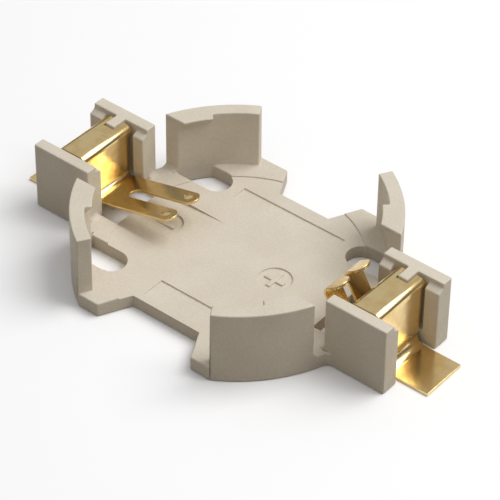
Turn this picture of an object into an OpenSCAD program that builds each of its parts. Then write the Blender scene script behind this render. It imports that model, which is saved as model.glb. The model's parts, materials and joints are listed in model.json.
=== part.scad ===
// Surface-mount holder for a twenty millimetre coin cell.
// Millimetres. The origin is the middle of the cell seat on the board plane,
// +X runs along the long axis to the positive end, +Z points away from the board.

/* [Cell seat] */
// diameter of the cell the seat takes
cell_d = 20; // [16:0.5:24]
// clearance between the cell's rim and each wall
cell_clear = 0.15; // [0.05:0.05:0.4]
// height of the four seat walls above the board
wall_h = 5.62; // [4.6:0.1:8]
// thickness of the seat walls
wall_t = 1.03; // [0.7:0.05:1.6]
// how far each snap lip reaches in over the cell
lip_reach = 0.5; // [0.2:0.05:0.8]
// height of a snap lip where it joins its wall
lip_h = 0.62; // [0.4:0.05:1.2]
// bearing of the free end of each wall, from the long axis
wall_end_deg = 59.5; // [50:0.5:68]
// bearing of the step where each snap lip stops
lip_end_deg = 40.8; // [32:0.5:48]
// gap between a wall's end and the tower beside it
wall_gap = 1.04; // [0.6:0.05:1.4]

/* [Base] */
// thickness of the base under the walls
base_t = 1.07; // [0.8:0.05:1.6]
// depth of the round cell recess
recess_d = 0.1; // [0.05:0.01:0.2]
// radius of the round cell recess
recess_r = 8.87; // [8:0.1:9.5]
// distance from the long axis to the bottom of each side notch
notch_y = 7.33; // [6.8:0.05:8.4]
// half width of the front notch at its bottom
notch_front = 2.87; // [1.5:0.05:3.5]
// half width of the back notch at its bottom
notch_back = 2.14; // [1.5:0.05:3.5]
// how much wider each notch is at its mouth, each side
notch_flare = 1.15; // [0.4:0.05:1.6]
// radius of the fillet where the base meets an arm
arm_fillet = 0.6; // [0.3:0.05:1]
// radius of the fillets at the feet of walls and towers
foot_fillet = 0.5; // [0.2:0.05:0.5]

/* [Slots under the lips] */
// distance from the long axis to the near side of each slot
slot_y = 4.46; // [4:0.05:4.8]
// width of each slot
slot_w = 2.24; // [1.4:0.05:2.8]
// distance from the middle to the round end of each slot
slot_x = 5.26; // [4.6:0.05:6.4]

/* [Towers] */
// height of the towers above the board
tower_h = 5.3; // [4.4:0.1:8]
// thickness of a tower plate
tower_t = 0.9; // [0.6:0.05:1.4]
// distance from the long axis to the inner face of a tower
tower_y = 2.63; // [2.3:0.05:3.2]
// distance from the middle to the near end of a tower
tower_x = 10.2; // [9.8:0.05:10.8]
// half length of the housing
body_half = 15.1; // [14.8:0.1:17]
// distance from the long axis to the inner face of the ribs
rib_y = 2.13; // [1.9:0.05:2.3]
// length of the inner rib
rib_in = 0.95; // [0.6:0.05:1.05]
// length of the outer rib
rib_out = 1.15; // [0.8:0.05:1.15]
// how far the rib tops stop below the tower tops
rib_drop = 0.62; // [0.3:0.05:1]
// length of the nub that keys each contact, along the long axis
nub_w = 0.76; // [0.5:0.02:1]
// distance from the long axis to the end of a nub
nub_y = 1.45; // [1.2:0.05:1.8]
// height of a nub
nub_h = 0.9; // [0.5:0.05:1.2]

/* [End openings and floor] */
// distance from the middle to the opening at the negative end
open_neg = 8.98; // [8.4:0.05:9.6]
// half width of the opening at the negative end
open_neg_w = 2.45; // [2.2:0.05:2.5]
// distance from the middle to the opening at the positive end
open_pos = 8.2; // [7.8:0.05:8.8]
// distance from the middle to where the floor trough runs out
trough_x = 3; // [2.6:0.1:4.5]
// depth of the floor trough at the opening
trough_d = 0.36; // [0.1:0.02:0.5]
// depth of the marks and the bare panels
mark_d = 0.12; // [0.06:0.01:0.2]
// radius of the round polarity marks
mark_r = 1.22; // [0.8:0.02:1.4]
// distance from the middle to the plus mark
plus_x = 3.32; // [2.8:0.05:5]
// distance from the middle to the minus mark
minus_x = 6.27; // [5.5:0.05:7]
// distance from the middle to the near edge of both bare panels
panel_y = 4.91; // [4.6:0.01:5.2]
// half length of the bare panel at the back
panel_back = 4.42; // [3:0.01:4.6]
// half length of the bare panel at the front
panel_front = 2.44; // [1.5:0.01:3.5]

/* [Contacts] */
// thickness of the contact strip
strip_t = 0.22; // [0.15:0.01:0.3]
// how far the top of each contact sits below the tower tops
web_drop = 0.14; // [0.05:0.01:0.4]
// half width of the contact across its top
web_w = 2.43; // [2.2:0.01:2.5]
// half width of the contact's upright walls
wall_w = 2.05; // [1.85:0.01:2.05]
// distance from the middle to the inner face of a contact
leg_in = 11.42; // [11.35:0.01:11.6]
// distance from the middle to the outer face of a contact
leg_out = 13.82; // [13.6:0.01:13.9]
// bend radius at the top of a contact, to the middle of the strip
top_bend = 0.42; // [0.3:0.02:0.6]
// bend radius above the solder tab, to the middle of the strip
foot_bend = 0.85; // [0.4:0.05:1.1]
// half width of the solder tab
tab_w = 1.82; // [1.2:0.02:1.9]
// distance from the middle to the end of the solder tab
tab_end = 17.4; // [16:0.1:18.5]

/* [Contact springs] */
// half width of the negative tongue
tongue_w = 1.85; // [1.6:0.01:1.9]
// distance from the middle to the finger tips
tip_x = 4.42; // [4:0.02:5.2]
// height of the finger tips above the board
tip_z = 3.1; // [2.6:0.05:3.6]
// height of the tongue where it leaves its wall
root_z = 1.32; // [1.2:0.02:1.6]
// half width of the slot between the fingers
split_w = 0.5; // [0.3:0.02:0.6]
// distance from the middle to the round end of the finger slot
split_x = 9.45; // [8.5:0.05:9.8]
// radius of the contact dimples
dimple_r = 0.42; // [0.25:0.01:0.5]
// half width of the gap between the positive arms
arm_gap = 0.3; // [0.2:0.02:0.4]
// half width over both positive arms
arm_w = 1.88; // [1.7:0.02:1.95]
// distance from the middle to the crest of the positive arms
crest_x = 8.8; // [8.6:0.02:9.4]
// height of the crest of the positive arms
crest_z = 4.28; // [3.9:0.02:4.4]
// distance from the middle to the curled tips of the positive arms
curl_x = 10.1; // [9.8:0.02:10.2]
// height of the curled tips of the positive arms
curl_z = 5.14; // [4.7:0.02:5.15]

/* [Hidden] */
$fn = 64;
e = 0.01;
seat_r = cell_d / 2 + cell_clear;
out_r = seat_r + wall_t;
// the base's straight sides start at the walls' outer corners
side_x = out_r * cos(wall_end_deg);
side_y = out_r * sin(wall_end_deg);
lip_r = seat_r - lip_reach;
tower_out = tower_y + tower_t;
wall_y = tower_out + wall_gap;
floor_z = base_t - recess_d;
web_z = tower_h - web_drop - strip_t / 2;
leg_i = leg_in + strip_t / 2;
leg_o = leg_out - strip_t / 2;
nub_x = (leg_in + leg_out) / 2;
key_clear = 0.08;
// how far a fillet's circle runs past the faces it joins
blend = 0.01;
bottom_bend = 0.45;
turn_bend = 0.34;
crest_bend = 0.34;
// the positive arm's line carried down to the line of its wall
arm_low = [10.72, 1];
bend_step = 9;
foot_top = foot_bend + strip_t / 2;
arm_slope = (crest_z - arm_low[1]) / (arm_low[0] - crest_x);
turn_z = crest_z - arm_slope * (leg_i - crest_x);
finger_deg = atan((tip_z - root_z) / (leg_i - tip_x));
finger_w = tongue_w - split_w;
curl_deg = atan((curl_z - crest_z) / (curl_x - crest_x));
col_resin = [0.82, 0.77, 0.68];
col_gold = [0.83, 0.66, 0.30];

// ---- helpers ------------------------------------------------------------

module mirrored_xy() {
    for (sx = [0, 1], sy = [0, 1]) mirror([sx, 0, 0]) mirror([0, sy, 0]) children();
}

module mirrored_y() {
    for (sy = [0, 1]) mirror([0, sy, 0]) children();
}

// a block given by its two corners
module block(a, b) {
    translate(a) cube(b - a);
}

function unit(v) = v / norm(v);
function bearing(v) = atan2(v[1], v[0]);
function setback(a, b, c, r) =
    r * tan(acos(max(-1, min(1, unit(b - a) * unit(c - b)))) / 2);

function left_of(d) = [-d[1], d[0]];

// points along one face of a folded strip, h to the left of the path p
function face_pts(p, r, h) = [
    for (i = [0 : len(p) - 1])
        let (d0 = unit(p[max(i, 1)] - p[max(i, 1) - 1]),
             d1 = unit(p[min(i, len(p) - 2) + 1] - p[min(i, len(p) - 2)]))
        if (i == 0 || i == len(p) - 1) p[i] + h * left_of(d0)
        else
            let (side = sign(d0[0] * d1[1] - d0[1] * d1[0]),
                 s = setback(p[i - 1], p[i], p[i + 1], r[i]),
                 o = p[i] - s * d0 + side * r[i] * left_of(d0),
                 turn = acos(max(-1, min(1, d0 * d1))),
                 a0 = bearing(-side * left_of(d0)),
                 n = ceil(turn / bend_step))
            each [for (k = [0 : n])
                let (a = a0 + side * turn * k / n) o + (r[i] - side * h) * [cos(a), sin(a)]]
];

function reversed(v) = [for (i = [len(v) - 1 : -1 : 0]) v[i]];

// a folded strip: corner points and a bend radius for each
module folded(p, r) {
    polygon(concat(face_pts(p, r, strip_t / 2), reversed(face_pts(p, r, -strip_t / 2))));
}

// lifts a flat drawing (distance from middle, height) to a slab across Y
module across(w) {
    rotate([90, 0, 0]) translate([0, 0, -w]) linear_extrude(2 * w) children();
}

// ---- housing ------------------------------------------------------------

// fillet between the round base and the straight side of an arm; it runs into
// both at a slight angle, so that no feather edge is left
module arm_corner() {
    cy = tower_out + arm_fillet - blend;
    reach = out_r + arm_fillet - 2 * blend;
    cx = sqrt(pow(reach, 2) - pow(cy, 2));
    c = [cx, cy];
    t1 = c * (out_r - blend) / reach;
    difference() {
        polygon([[tower_x - 1, tower_out - 0.5], t1, c, [cx, tower_out - 0.5]]);
        translate(c) circle(r = arm_fillet);
    }
}

module notch(half) {
    polygon([[-half, notch_y], [half, notch_y],
             [half + notch_flare * (side_y + 1 - notch_y) / (side_y - notch_y), side_y + 1],
             [-half - notch_flare * (side_y + 1 - notch_y) / (side_y - notch_y), side_y + 1]]);
}

module slot_plan() {
    r = slot_w / 2;
    translate([slot_x + r, slot_y + r]) {
        circle(r = r);
        translate([0, -r]) square([6, slot_w]);
    }
}

module base_plan() {
    difference() {
        union() {
            intersection() {
                circle(r = seat_r + 0.6 * wall_t, $fn = 160);
                square([4 * out_r, 2 * side_y - wall_t], center = true);
            }
            square([2 * side_x, 2 * side_y], center = true);
            translate([-body_half, -tower_out]) square([2 * body_half, 2 * tower_out]);
            mirrored_xy() arm_corner();
        }
        notch(notch_back);
        mirror([0, 1, 0]) notch(notch_front);
        // end openings
        translate([-body_half - 1, -rib_y]) square([body_half + 1 - open_neg, 2 * rib_y]);
        translate([-tower_x, -open_neg_w]) square([tower_x - open_neg, 2 * open_neg_w]);
        translate([open_pos, -rib_y]) square([body_half + 1 - open_pos, 2 * rib_y]);
        // slots under the lips; the walls, which reach down to the bottom, close
        // their outer sides
        mirrored_xy() intersection() {
            slot_plan();
            circle(r = seat_r + 0.3 * wall_t, $fn = 160);
        }
    }
}

// side view of the room beside a wall's end, with a fillet left at the foot;
// the wall's lowest part runs on inside the base
module end_room() {
    c = [wall_y - foot_fillet + blend, base_t + foot_fillet - blend];
    difference() {
        union() {
            translate([-1, base_t]) square([wall_y + 1, wall_h]);
            translate([-1, -1]) square([tower_y + 1.2, wall_h + 2]);
        }
        difference() {
            translate([c[0], 0]) square([foot_fillet + 1, c[1]]);
            translate(c) circle(r = foot_fillet);
        }
    }
}

module seat_wall() {
    difference() {
        union() {
            rotate([0, 0, 15]) rotate_extrude(angle = wall_end_deg - 15, $fn = 160)
                translate([seat_r, 0]) square([wall_t, wall_h]);
            // snap lip with a sloped underside
            rotate([0, 0, 15]) rotate_extrude(angle = lip_end_deg - 15, $fn = 160)
                polygon([[seat_r + 0.2, wall_h - lip_h], [seat_r, wall_h - lip_h],
                         [lip_r, wall_h - 0.16], [lip_r, wall_h], [seat_r + 0.2, wall_h]]);
        }
        rotate([90, 0, 90]) linear_extrude(20) end_room();
    }
}

module rib(x0, x1) {
    top = tower_h - rib_drop;
    across_pts = [[rib_y, 0], [tower_y + 0.1, 0], [tower_y + 0.1, top + 0.3], [rib_y, top]];
    translate([x0, 0, 0]) rotate([90, 0, 90]) linear_extrude(x1 - x0) polygon(across_pts);
}

module tower() {
    block([tower_x, tower_y, 0], [body_half, tower_out, tower_h]);
    rib(tower_x, tower_x + rib_in);
    rib(body_half - rib_out, body_half);
    // fillet at the foot of the tower's near end
    difference() {
        block([tower_x - foot_fillet, tower_y, base_t - 0.2],
              [tower_x + 0.1, tower_out, base_t + foot_fillet]);
        translate([tower_x - foot_fillet + blend, tower_y - 1, base_t + foot_fillet - blend])
            rotate([-90, 0, 0]) cylinder(r = foot_fillet, h = tower_t + 2);
    }
}

// nub on each back tower that keys the contact
module nub() {
    block([nub_x - nub_w / 2, nub_y, tower_h - nub_h], [nub_x + nub_w / 2, tower_y + 0.1, tower_h]);
}

module plus_mark() {
    difference() {
        cylinder(r = mark_r, h = 1);
        for (a = [0, 90]) rotate([0, 0, a]) block([-0.78, -0.17, -1], [0.78, 0.17, 2]);
    }
}

module minus_mark() {
    difference() {
        cylinder(r = mark_r, h = 2);
        block([-0.78, -0.17, -1], [0.78, 0.17, 3]);
    }
}

module housing() {
    color(col_resin) difference() {
        union() {
            linear_extrude(base_t) base_plan();
            mirrored_xy() seat_wall();
            mirrored_xy() tower();
            for (sx = [0, 1]) mirror([sx, 0, 0]) nub();
        }
        // round cell recess
        translate([0, 0, floor_z]) cylinder(r = recess_r, h = 0.9, $fn = 160);
        // sloping trough under the fingers
        translate([0, 0, floor_z]) rotate([90, 0, 0]) translate([0, 0, -open_neg_w])
            linear_extrude(2 * open_neg_w)
            polygon([[-trough_x, 0], [-open_neg - 0.3, -trough_d - 0.02], [-open_neg - 0.3, 1],
                     [-trough_x, 1]]);
        // polarity marks
        translate([plus_x, 0, floor_z - mark_d]) plus_mark();
        translate([-minus_x, 0, floor_z - mark_d - trough_d * (minus_x - trough_x)
                   / (open_neg - trough_x)]) minus_mark();
        // bare panels
        block([-panel_back, panel_y, floor_z - mark_d], [panel_back, panel_y + 1.35, base_t + 1]);
        block([-panel_front, -panel_y - 1.78, floor_z - mark_d], [panel_front, -panel_y, base_t + 1]);
    }
}

// ---- contacts -----------------------------------------------------------
// Both are drawn reaching out along +X; the negative one is turned round.

module common_part(path, radii, spring_w, key_side) {
    // top with its ears
    difference() {
        across(web_w) intersection() {
            folded(path, radii);
            translate([leg_in - 1, web_z - 0.6]) square([5, 2]);
        }
        scale([1, key_side, 1]) block([nub_x - nub_w / 2 - key_clear, nub_y - key_clear, web_z - 1],
                                      [nub_x + nub_w / 2 + key_clear, web_w + 1, web_z + 1]);
    }
    // uprights
    across(wall_w) intersection() {
        folded(path, radii);
        translate([leg_in - 0.05, foot_top]) square([5, web_z - 0.6 - foot_top + e]);
    }
    // solder tab
    across(tab_w) intersection() {
        folded(path, radii);
        translate([leg_out - 0.8, -1]) square([8, 1 + foot_top + e]);
    }
    // spring root below the inner upright
    across(spring_w) intersection() {
        folded(path, radii);
        translate([leg_in - 1.2, -1]) square([leg_out - leg_in, 1 + foot_top + e]);
    }
}

module negative_contact() {
    path = [[tab_end, strip_t / 2], [leg_o, strip_t / 2], [leg_o, web_z], [leg_i, web_z],
            [leg_i, root_z - strip_t / 2], [tip_x, tip_z - strip_t / 2]];
    radii = [0, foot_bend, top_bend, top_bend, bottom_bend, 0];
    tip_r = 1.04 * finger_w / 2;
    color(col_gold) rotate([0, 0, 180]) {
        common_part(path, radii, tongue_w, -1);
        difference() {
            across(tongue_w) intersection() {
                folded(path, radii);
                square([leg_in - 0.05, 4]);
            }
            // slot between the fingers
            block([0, -split_w, 0], [split_x - split_w, split_w, 5]);
            translate([split_x - split_w, 0, 0]) cylinder(r = split_w, h = 5);
            // round finger tips
            mirrored_y() difference() {
                block([0, split_w - 0.1, 0], [tip_x + tip_r, tongue_w + 0.5, 5]);
                translate([tip_x + tip_r + 0.02, split_w + finger_w / 2, -1]) cylinder(r = tip_r, h = 7);
            }
        }
        // contact dimples pressed up near the tips
        mirrored_y() translate([tip_x + 0.82, split_w + finger_w / 2, tip_z - 0.82 * tan(finger_deg)])
            rotate([0, finger_deg, 0]) translate([0, 0, -0.55]) intersection() {
                sphere(r = 0.68, $fn = 32);
                translate([0, 0, 0.5]) cylinder(r = dimple_r, h = 1, $fn = 32);
            }
    }
}

module positive_contact() {
    path = [[tab_end, strip_t / 2], [leg_o, strip_t / 2], [leg_o, web_z], [leg_i, web_z],
            [leg_i, turn_z], [crest_x, crest_z], [curl_x, curl_z]];
    radii = [0, foot_bend, top_bend, top_bend, turn_bend, crest_bend, 0];
    half = (arm_w - arm_gap) / 2;
    tip_r = 1.06 * half;
    color(col_gold) {
        common_part(path, radii, arm_w, 1);
        difference() {
            across(arm_w) intersection() {
                folded(path, radii);
                square([leg_in - 0.05, 7]);
            }
            // gap between the arms
            block([0, -arm_gap, 1.3], [leg_in, arm_gap, 7]);
            // round ends
            translate([curl_x, 0, curl_z]) rotate([0, -curl_deg, 0])
                mirrored_y() difference() {
                    block([-tip_r, arm_gap - 0.1, -0.5], [1, arm_w + 0.5, 0.5]);
                    translate([-tip_r - 0.02, arm_gap + half, -1]) cylinder(r = tip_r, h = 2);
                }
        }
    }
}

housing();
negative_contact();
positive_contact();
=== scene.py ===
"""Coin cell holder: a moulded resin housing that carries two folded, gold plated contacts."""

from __future__ import annotations

import json
import logging
import math
from dataclasses import dataclass, field
from enum import Enum
from typing import Any, Union

import bmesh
import bpy
from mathutils import Matrix, Vector

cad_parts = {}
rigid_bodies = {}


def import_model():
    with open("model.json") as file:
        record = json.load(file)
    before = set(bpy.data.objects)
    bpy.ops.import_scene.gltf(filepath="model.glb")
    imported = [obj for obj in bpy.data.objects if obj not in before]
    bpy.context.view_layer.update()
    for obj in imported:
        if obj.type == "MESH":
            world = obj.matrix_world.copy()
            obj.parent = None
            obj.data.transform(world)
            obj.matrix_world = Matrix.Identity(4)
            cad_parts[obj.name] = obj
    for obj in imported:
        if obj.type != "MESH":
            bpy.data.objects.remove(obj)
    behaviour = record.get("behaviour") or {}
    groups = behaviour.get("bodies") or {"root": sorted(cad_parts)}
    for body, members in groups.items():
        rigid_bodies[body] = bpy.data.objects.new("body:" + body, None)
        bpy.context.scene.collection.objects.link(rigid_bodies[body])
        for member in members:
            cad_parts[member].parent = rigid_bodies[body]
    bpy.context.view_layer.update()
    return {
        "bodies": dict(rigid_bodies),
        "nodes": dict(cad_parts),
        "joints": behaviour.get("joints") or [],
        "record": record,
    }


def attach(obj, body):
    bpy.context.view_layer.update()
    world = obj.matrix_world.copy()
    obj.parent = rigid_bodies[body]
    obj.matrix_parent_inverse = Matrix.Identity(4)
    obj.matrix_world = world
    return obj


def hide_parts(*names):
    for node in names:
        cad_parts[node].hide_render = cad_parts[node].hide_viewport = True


LOG = logging.getLogger("coin_cell_holder")
MM = 0.001
Colour = tuple[float, float, float, float]
# vertices closer than this, in metres, are one
WELD = 1e-7
# faces that meet at less than this are one flat face
FLAT_DEG = 0.4
SEEN_BY = ("Is Camera Ray", "Is Glossy Ray", "Is Transmission Ray")


class Slot(Enum):
    """The record's material slots."""

    RESIN = "resin"
    METAL = "contact_metal"


class Value:
    """A node's output socket that can be used in plain arithmetic."""

    def __init__(self, nodes: "Nodes", socket: bpy.types.NodeSocket) -> None:
        """Keeps the socket and the nodes that it belongs to."""
        self.nodes = nodes
        self.socket = socket

    def _math(self, operation: str, a: Any, b: Any) -> "Value":
        """Adds a Math node for one operator."""
        return self.nodes.node("ShaderNodeMath", {"operation": operation}, {0: a, 1: b})

    def __add__(self, other: Union["Value", float]) -> "Value":
        """Sum."""
        return self._math("ADD", self, other)

    def __mul__(self, other: Union["Value", float]) -> "Value":
        """Product."""
        return self._math("MULTIPLY", self, other)

    __radd__ = __add__
    __rmul__ = __mul__


class Nodes:
    """A node tree that new nodes are added to."""

    def __init__(self, tree: bpy.types.NodeTree) -> None:
        """Keeps the tree."""
        self.tree = tree

    def node(
        self, kind: str, settings: dict[str, Any], inputs: dict[Any, Any], output: Any = 0
    ) -> Value:
        """Adds one node.

        Args:
            kind: The node's type.
            settings: Properties that are set before the sockets; stops holds the place
                and colour of each stop of a ramp.
            inputs: A number, colour or Value for each socket, by name or place.
            output: The name or place of the socket that is handed back.

        Returns:
            The chosen output.
        """
        made = self.tree.nodes.new(kind)
        for key, value in settings.items():
            if key == "stops":
                for stop, (place, colour) in zip(made.color_ramp.elements, value):
                    stop.position, stop.color = place, colour
            else:
                setattr(made, key, value)
        for key, value in inputs.items():
            self.feed(made.inputs[key], value)
        return Value(self, made.outputs[output])

    def feed(self, socket: bpy.types.NodeSocket, value: Any) -> None:
        """Links a Value to a socket, or sets the socket to a constant.

        Args:
            socket: The input that is fed.
            value: A Value, a number or a colour.
        """
        if isinstance(value, Value):
            self.tree.links.new(value.socket, socket)
        else:
            socket.default_value = value


class Shader(Nodes):
    """A material and the nodes that make its look."""

    def __init__(self, name: str) -> None:
        """Makes a node material around one Principled BSDF."""
        self.material = bpy.data.materials.new(name)
        self.material.use_nodes = True
        super().__init__(self.material.node_tree)
        self.surface = self.tree.nodes["Principled BSDF"]

    def coordinates(self, stretch: tuple[float, float, float] = (1, 1, 1)) -> Value:
        """Object coordinates, stretched along the axes.

        Args:
            stretch: Factor for each axis.

        Returns:
            The mapped coordinates.
        """
        place = self.node("ShaderNodeTexCoord", {}, {}, "Object")
        return self.node("ShaderNodeMapping", {}, {"Vector": place, "Scale": stretch})

    def noise(self, where: Value, size_mm: float, detail: float) -> Value:
        """Noise between 0 and 1.

        Args:
            where: The coordinates that it is read at.
            size_mm: How far apart its features lie.
            detail: How many finer layers it has.

        Returns:
            The noise.
        """
        return self.node(
            "ShaderNodeTexNoise", {},
            {"Vector": where, "Scale": 1 / (size_mm * MM), "Detail": detail}, "Fac",
        )

    def blend(self, factor: Value, a: Colour, b: Colour) -> Value:
        """Mixes two colours.

        Args:
            factor: The share of the second colour, from 0 to 1.
            a: The first colour.
            b: The second colour.

        Returns:
            The mixed colour.
        """
        return self.node("ShaderNodeMix", {"data_type": "RGBA"}, {0: factor, 6: a, 7: b}, 2)

    def fraction(self, value: Value, low: float, high: float) -> Value:
        """Runs smoothly from 0 to 1 as a value runs from low to high.

        Args:
            value: The value that is read.
            low: Where the result is 0.
            high: Where the result is 1.

        Returns:
            The result.
        """
        return self.node(
            "ShaderNodeMapRange", {"interpolation_type": "SMOOTHSTEP"},
            {"Value": value, "From Min": low, "From Max": high},
        )

    def bump(self, height: Value, depth_mm: float, strength: float) -> None:
        """Turns a height into the surface's normal.

        Args:
            height: The height, from 0 to 1.
            depth_mm: How deep a height of 1 is.
            strength: The share of the bump that shows.
        """
        normal = self.node(
            "ShaderNodeBump", {},
            {"Height": height, "Distance": depth_mm * MM, "Strength": strength}, "Normal",
        )
        self.feed(self.surface.inputs["Normal"], normal)

    def set(self, **sockets: Any) -> None:
        """Feeds the Principled BSDF's sockets; an underscore stands for a space."""
        for key, value in sockets.items():
            self.feed(self.surface.inputs[key.replace("_", " ")], value)


@dataclass(frozen=True)
class ResinFinish:
    """Ivory moulded resin with a fine spark-eroded grain."""

    light: Colour = (0.72, 0.655, 0.545, 1)
    dark: Colour = (0.62, 0.545, 0.43, 1)
    mottle_mm: float = 2.6
    mottle_share: float = 0.35
    grain_mm: float = 0.16
    grain_share: float = 0.45
    grain_depth_mm: float = 0.012
    grain_strength: float = 0.8
    roughness: float = 0.47
    roughness_swing: float = 0.16
    refraction: float = 1.5

    def build(self) -> bpy.types.Material:
        """Returns the finished material."""
        shader = Shader("ivory_resin")
        where = shader.coordinates()
        mottle = shader.fraction(shader.noise(where, self.mottle_mm, 4), 0.3, 0.7)
        grain = shader.noise(where, self.grain_mm, 3)
        speckle = shader.fraction(grain, 0.3, 0.7)
        shade = mottle * self.mottle_share + speckle * self.grain_share
        shader.set(
            Base_Color=shader.blend(shade, self.light, self.dark),
            Roughness=grain * self.roughness_swing + self.roughness,
            IOR=self.refraction,
        )
        shader.bump(grain, self.grain_depth_mm, self.grain_strength)
        return shader.material


@dataclass(frozen=True)
class GoldFinish:
    """Rolled spring strip under a thin gold plating."""

    bright: Colour = (0.90, 0.70, 0.36, 1)
    deep: Colour = (0.74, 0.50, 0.19, 1)
    cloud_mm: float = 1.1
    cloud_share: float = 0.6
    streak_mm: float = 0.09
    streak_stretch: tuple[float, float, float] = (0.12, 1, 0.12)
    streak_depth_mm: float = 0.0035
    streak_strength: float = 0.7
    roughness: float = 0.12
    streak_swing: float = 0.12
    cloud_swing: float = 0.08

    def build(self) -> bpy.types.Material:
        """Returns the finished material."""
        shader = Shader("gold_plating")
        cloud = shader.fraction(shader.noise(shader.coordinates(), self.cloud_mm, 4), 0.35, 0.7)
        streak = shader.noise(shader.coordinates(self.streak_stretch), self.streak_mm, 3)
        shader.set(
            Base_Color=shader.blend(cloud * self.cloud_share, self.bright, self.deep),
            Metallic=1.0,
            Roughness=streak * self.streak_swing + cloud * self.cloud_swing + self.roughness,
        )
        shader.bump(streak, self.streak_depth_mm, self.streak_strength)
        return shader.material


@dataclass(frozen=True)
class Rounding:
    """How the edges of a piece are broken."""

    width_mm: float
    segments: int
    from_deg: float
    shallow_radius_mm: float = 0.0
    shallow_top_mm: float = 0.0
    shallow_share: float = 0.12

    def weight(self, edge: bmesh.types.BMEdge) -> float:
        """The share of the full width that an edge gets.

        Args:
            edge: An edge of the piece.

        Returns:
            0 for a flat edge, less than 1 for the shallow steps of the seat, else 1.
        """
        if len(edge.link_faces) != 2 or edge.calc_face_angle(0) < math.radians(self.from_deg):
            return 0.0
        shallow = all(
            vert.co.z < self.shallow_top_mm * MM
            and vert.co.xy.length < self.shallow_radius_mm * MM
            for vert in edge.verts
        )
        return self.shallow_share if shallow else 1.0

    def mark(self, shape: bmesh.types.BMesh) -> None:
        """Writes each edge's share of the width into the mesh.

        Args:
            shape: The piece's mesh.
        """
        layer = shape.edges.layers.float.new("bevel_weight_edge")
        for edge in shape.edges:
            edge[layer] = self.weight(edge)

    def apply(self, piece: bpy.types.Object) -> None:
        """Adds the bevel and even shading.

        Args:
            piece: The piece, whose edges are marked.
        """
        bevel = piece.modifiers.new("edge_rounding", "BEVEL")
        bevel.width = self.width_mm * MM
        bevel.segments = self.segments
        bevel.limit_method = "WEIGHT"
        bevel.use_clamp_overlap = False
        bevel.miter_outer = "MITER_ARC"
        shade = piece.modifiers.new("even_shading", "WEIGHTED_NORMAL")
        shade.mode = "FACE_AREA"


@dataclass
class Piece:
    """A rigid piece that carries a node's form with rounded edges."""

    node: str
    name: str
    slot: Slot
    rounding: Rounding
    material: bpy.types.Material
    object: bpy.types.Object = field(init=False)

    def build(self, frame: dict[str, Any]) -> bpy.types.Object:
        """Makes the piece from its node, rounds it and puts it on the body.


        Returns:
            The finished piece.
        """
        shape = bmesh.new()
        shape.from_mesh(frame["nodes"][self.node].data)
        bmesh.ops.remove_doubles(shape, verts=shape.verts, dist=WELD)
        bmesh.ops.dissolve_limit(
            shape, angle_limit=math.radians(FLAT_DEG), verts=shape.verts, edges=shape.edges
        )
        bmesh.ops.recalc_face_normals(shape, faces=shape.faces)
        self.rounding.mark(shape)
        mesh = bpy.data.meshes.new(self.name)
        shape.to_mesh(mesh)
        shape.free()
        mesh.shade_smooth()
        mesh.materials.append(self.material)
        self.object = bpy.data.objects.new(self.name, mesh)
        bpy.context.scene.collection.objects.link(self.object)
        self.rounding.apply(self.object)
        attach(self.object, "root")
        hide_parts(self.node)
        return self.object


@dataclass(frozen=True)
class Holder:
    """The whole part: one housing and two contacts."""

    mould_edges: Rounding = Rounding(
        0.1, 3, 35, shallow_radius_mm=9.0, shallow_top_mm=1.2
    )
    strip_edges: Rounding = Rounding(0.035, 2, 50)

    def build(self, frame: dict[str, Any]) -> list[bpy.types.Object]:
        """Builds all pieces.


        Returns:
            The finished pieces.
        """
        resin = ResinFinish().build()
        gold = GoldFinish().build()
        pieces = [
            Piece("housing", "moulded_housing", Slot.RESIN, self.mould_edges, resin),
            Piece("negative_contact", "negative_spring", Slot.METAL, self.strip_edges, gold),
            Piece("positive_contact", "positive_spring", Slot.METAL, self.strip_edges, gold),
        ]
        return [piece.build(frame) for piece in pieces]


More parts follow.
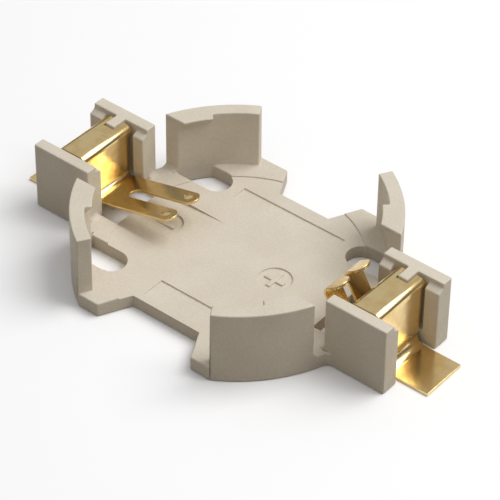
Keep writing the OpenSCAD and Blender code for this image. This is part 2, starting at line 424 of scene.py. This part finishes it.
@dataclass(frozen=True)
class Studio:
    """Floor, light and camera."""

    floor_half: float = 1.5
    floor_drop_mm: float = 0.02
    floor_roughness: float = 0.9
    floor_colour: Colour = (1.0, 1.0, 1.0, 1)
    floor_bounce: Colour = (0.3, 0.27, 0.22, 1)
    key_at: tuple[float, float, float] = (0.12, 0.13, 0.28)
    key_size: float = 0.24
    key_power: float = 0.78
    horizon_colour: Colour = (0.10, 0.09, 0.07, 1)
    horizon_up_to: float = 0.22
    zenith_colour: Colour = (0.55, 0.55, 0.56, 1)
    zenith_from: float = 0.6
    azimuth: float = 38.747
    elevation: float = 40.108
    roll: float = 0.751
    distance_mm: float = 179.5
    aim_mm: tuple[float, float, float] = (0.17, 1.22, 1.04)
    lens: float = 190.61
    sensor: float = 36.0
    clip: tuple[float, float] = (0.005, 10.0)

    def build(self) -> None:
        """Makes the floor, the light and the camera."""
        self._floor()
        self._key()
        self._world()
        self._camera()

    def _floor(self) -> None:
        """A plain floor that looks white and gives back little light."""
        shape = bmesh.new()
        bmesh.ops.create_grid(shape, x_segments=1, y_segments=1, size=self.floor_half)
        bmesh.ops.translate(shape, verts=shape.verts, vec=(0, 0, -self.floor_drop_mm * MM))
        mesh = bpy.data.meshes.new("floor")
        shape.to_mesh(mesh)
        shape.free()
        shader = Shader("floor_white")
        camera, glossy, through = (
            shader.node("ShaderNodeLightPath", {}, {}, name) for name in SEEN_BY
        )
        seen = camera + glossy + through
        shader.set(
            Base_Color=shader.blend(seen, self.floor_bounce, self.floor_colour),
            Roughness=self.floor_roughness,
        )
        mesh.materials.append(shader.material)
        floor = bpy.data.objects.new("floor", mesh)
        bpy.context.scene.collection.objects.link(floor)

    def _key(self) -> None:
        """One soft light from above, behind and to the right."""
        light = bpy.data.lights.new("key", "AREA")
        light.size = self.key_size
        light.energy = self.key_power
        lamp = bpy.data.objects.new("key", light)
        lamp.location = self.key_at
        lamp.rotation_euler = Vector(self.key_at).to_track_quat("Z", "Y").to_euler()
        bpy.context.scene.collection.objects.link(lamp)

    def _world(self) -> None:
        """Surroundings that are bright overhead and dim at the horizon."""
        world = bpy.data.worlds.new("surroundings")
        world.use_nodes = True
        nodes = Nodes(world.node_tree)
        place = nodes.node("ShaderNodeTexCoord", {}, {}, "Generated")
        height = nodes.node("ShaderNodeSeparateXYZ", {}, {0: place}, "Z")
        stops = [
            (self.horizon_up_to, self.horizon_colour), (self.zenith_from, self.zenith_colour)
        ]
        sky = nodes.node("ShaderNodeValToRGB", {"stops": stops}, {"Fac": height}, "Color")
        nodes.feed(world.node_tree.nodes["Background"].inputs["Color"], sky)
        bpy.context.scene.world = world

    def _camera(self) -> None:
        """The camera, on its ray from the aim."""
        az, el, roll = (math.radians(v) for v in (self.azimuth, self.elevation, self.roll))
        back = Vector(
            (math.sin(az) * math.cos(el), -math.cos(az) * math.cos(el), math.sin(el))
        )
        level = Vector((math.cos(az), math.sin(az), 0))
        upright = back.cross(level)
        right = level * math.cos(roll) + upright * math.sin(roll)
        up = upright * math.cos(roll) - level * math.sin(roll)
        data = bpy.data.cameras.new("camera")
        data.lens = self.lens
        data.sensor_width = self.sensor
        data.clip_start, data.clip_end = self.clip
        camera = bpy.data.objects.new("camera", data)
        spot = Vector(self.aim_mm) * MM + back * (self.distance_mm * MM)
        turn = Matrix((right, up, back)).transposed().to_4x4()
        camera.matrix_world = Matrix.Translation(spot) @ turn
        bpy.context.scene.collection.objects.link(camera)
        bpy.context.scene.camera = camera


def main() -> None:
    """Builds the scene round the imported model."""
    logging.basicConfig(level=logging.INFO, format="%(message)s")
    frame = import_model()
    for piece in Holder().build(frame):
        LOG.info("built %s with %d faces", piece.name, len(piece.data.polygons))
    Studio().build()
    bpy.context.scene.view_settings.view_transform = "Standard"
    bpy.context.view_layer.update()


if __name__ == "__main__":
    main()
